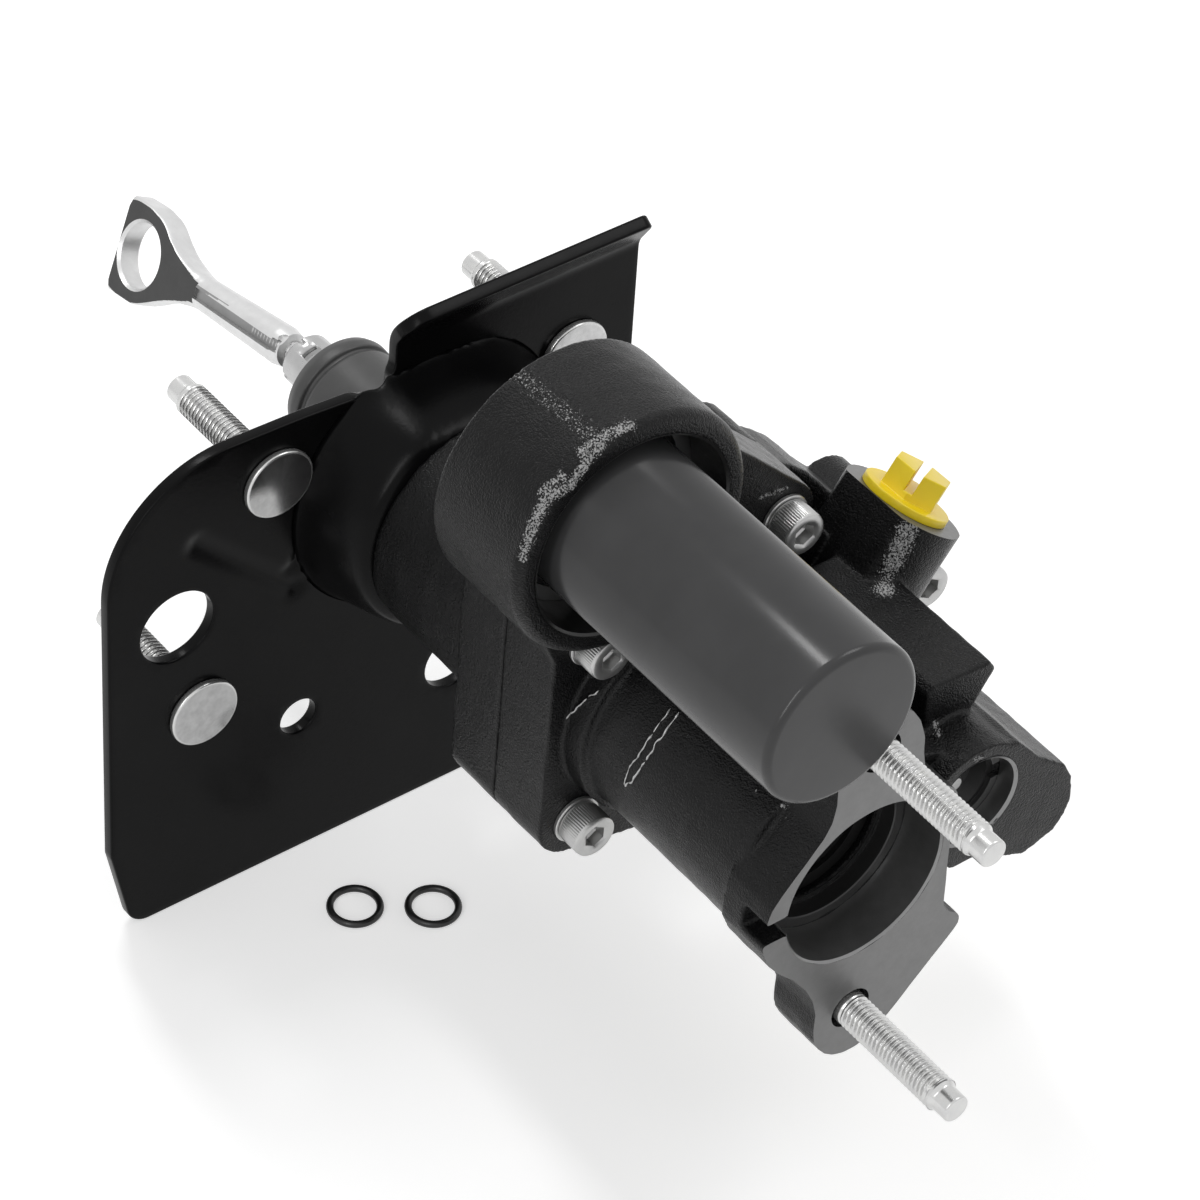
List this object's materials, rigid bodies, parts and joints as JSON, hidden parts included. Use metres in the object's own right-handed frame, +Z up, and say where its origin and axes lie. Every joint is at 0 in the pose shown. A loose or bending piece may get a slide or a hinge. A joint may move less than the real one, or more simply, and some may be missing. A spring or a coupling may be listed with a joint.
{
  "type": "hydraulic brake booster",
  "caption": "Hydraulic brake booster: pressed firewall bracket, cast housing with accumulator and pressure port, pedal push rod and studs for the master cylinder.",
  "frame": {"origin": "midway between the two upper firewall studs, on the rear face of the bracket plate", "axes": "+X forward along the main bore towards the master cylinder, +Z up, +Y to the side of the pressure port"},
  "size_m": [0.3872, 0.2009, 0.2409],
  "materials": {
    "black_paint": "rough sand-cast surface under black paint",
    "bracket_paint": "glossy black paint on pressed sheet",
    "zinc": "bright zinc plating",
    "forged": "bright forged and machined steel",
    "steel": "ground steel",
    "spring_steel": "phosphated spring steel",
    "can_paint": "satin dark grey paint",
    "alloy": "machined",
    "rubber": "moulded",
    "boot_rubber": "moulded, satin",
    "yellow_plastic": "moulded"
  },
  "bodies": {
    "booster": {"mounting_bracket": "bracket_paint", "firewall_studs": "zinc", "bracket_nut": "zinc", "cover": "black_paint", "housing": "black_paint", "housing_seal": "rubber", "cover_screws": "zinc", "screw_washers": "zinc", "master_cylinder_studs": "zinc", "return_spring": "spring_steel", "spring_seat": "steel", "seat_ring": "spring_steel", "input_seal": "rubber", "seal_retainer": "steel", "input_boot": "boot_rubber", "spool_spring": "spring_steel", "spool_plug": "alloy", "spool_plug_o_ring": "rubber", "spool_retaining_ring": "spring_steel", "plug_pin": "steel", "accumulator_can": "can_paint", "accumulator_base": "steel", "accumulator_o_ring": "rubber", "accumulator_ring": "spring_steel", "check_ball": "steel", "check_spring": "spring_steel", "port_plugs": "yellow_plastic", "port_o_rings": "rubber"},
    "power_piston": {"power_piston": "alloy", "piston_seal": "rubber", "lever_pivot_pin": "steel"},
    "lever": {"lever": "steel", "lever_input_pin": "steel", "lever_spool_pin": "steel"},
    "input_rod": {"input_rod": "steel"},
    "pedal_rod": {"pedal_rod": "forged", "ball_stud": "steel"},
    "spool_valve": {"spool_valve": "steel"},
    "accumulator_piston": {"accumulator_piston": "alloy", "accumulator_piston_seal": "rubber"}
  },
  "joints": [
    {"name": "brake_stroke", "type": "slide", "parent": "booster", "child": "power_piston", "axis": [1, 0, 0], "range_m": [0, 0.032], "stiffness_N_per_m": 1500, "springref_m": -0.02, "deforming": ["return_spring"]},
    {"name": "lever_swing", "type": "hinge", "parent": "power_piston", "child": "lever", "pos_m": [0.068, 0.00777, -0.02058], "axis": [0, 0.0939, 0.9956], "range_deg": [0, 43.17]},
    {"name": "input_travel", "type": "slide", "parent": "booster", "child": "input_rod", "axis": [1, 0, 0], "range_m": [0, 0.03821], "deforming": ["input_boot"]},
    {"name": "pedal_swing", "type": "hinge", "parent": "input_rod", "child": "pedal_rod", "pos_m": [-0.051, 0, -0.01985], "axis": [0, 1, 0], "range_deg": [-6, 24]},
    {"name": "valve_travel", "type": "slide", "parent": "booster", "child": "spool_valve", "axis": [1, 0, 0], "range_m": [0, 0.00305], "deforming": ["spool_spring"]},
    {"name": "accumulator_piston_travel", "type": "slide", "parent": "booster", "child": "accumulator_piston", "axis": [1, 0, 0], "range_m": [-0.03, 0.042]}
  ],
  "couplings": [
    {"joint": "lever_swing", "follows": "brake_stroke", "rad_per_m": 23.492},
    {"joint": "input_travel", "follows": "brake_stroke", "ratio": 1.1909},
    {"joint": "valve_travel", "follows": "brake_stroke", "ratio": 0.09375}
  ]
}
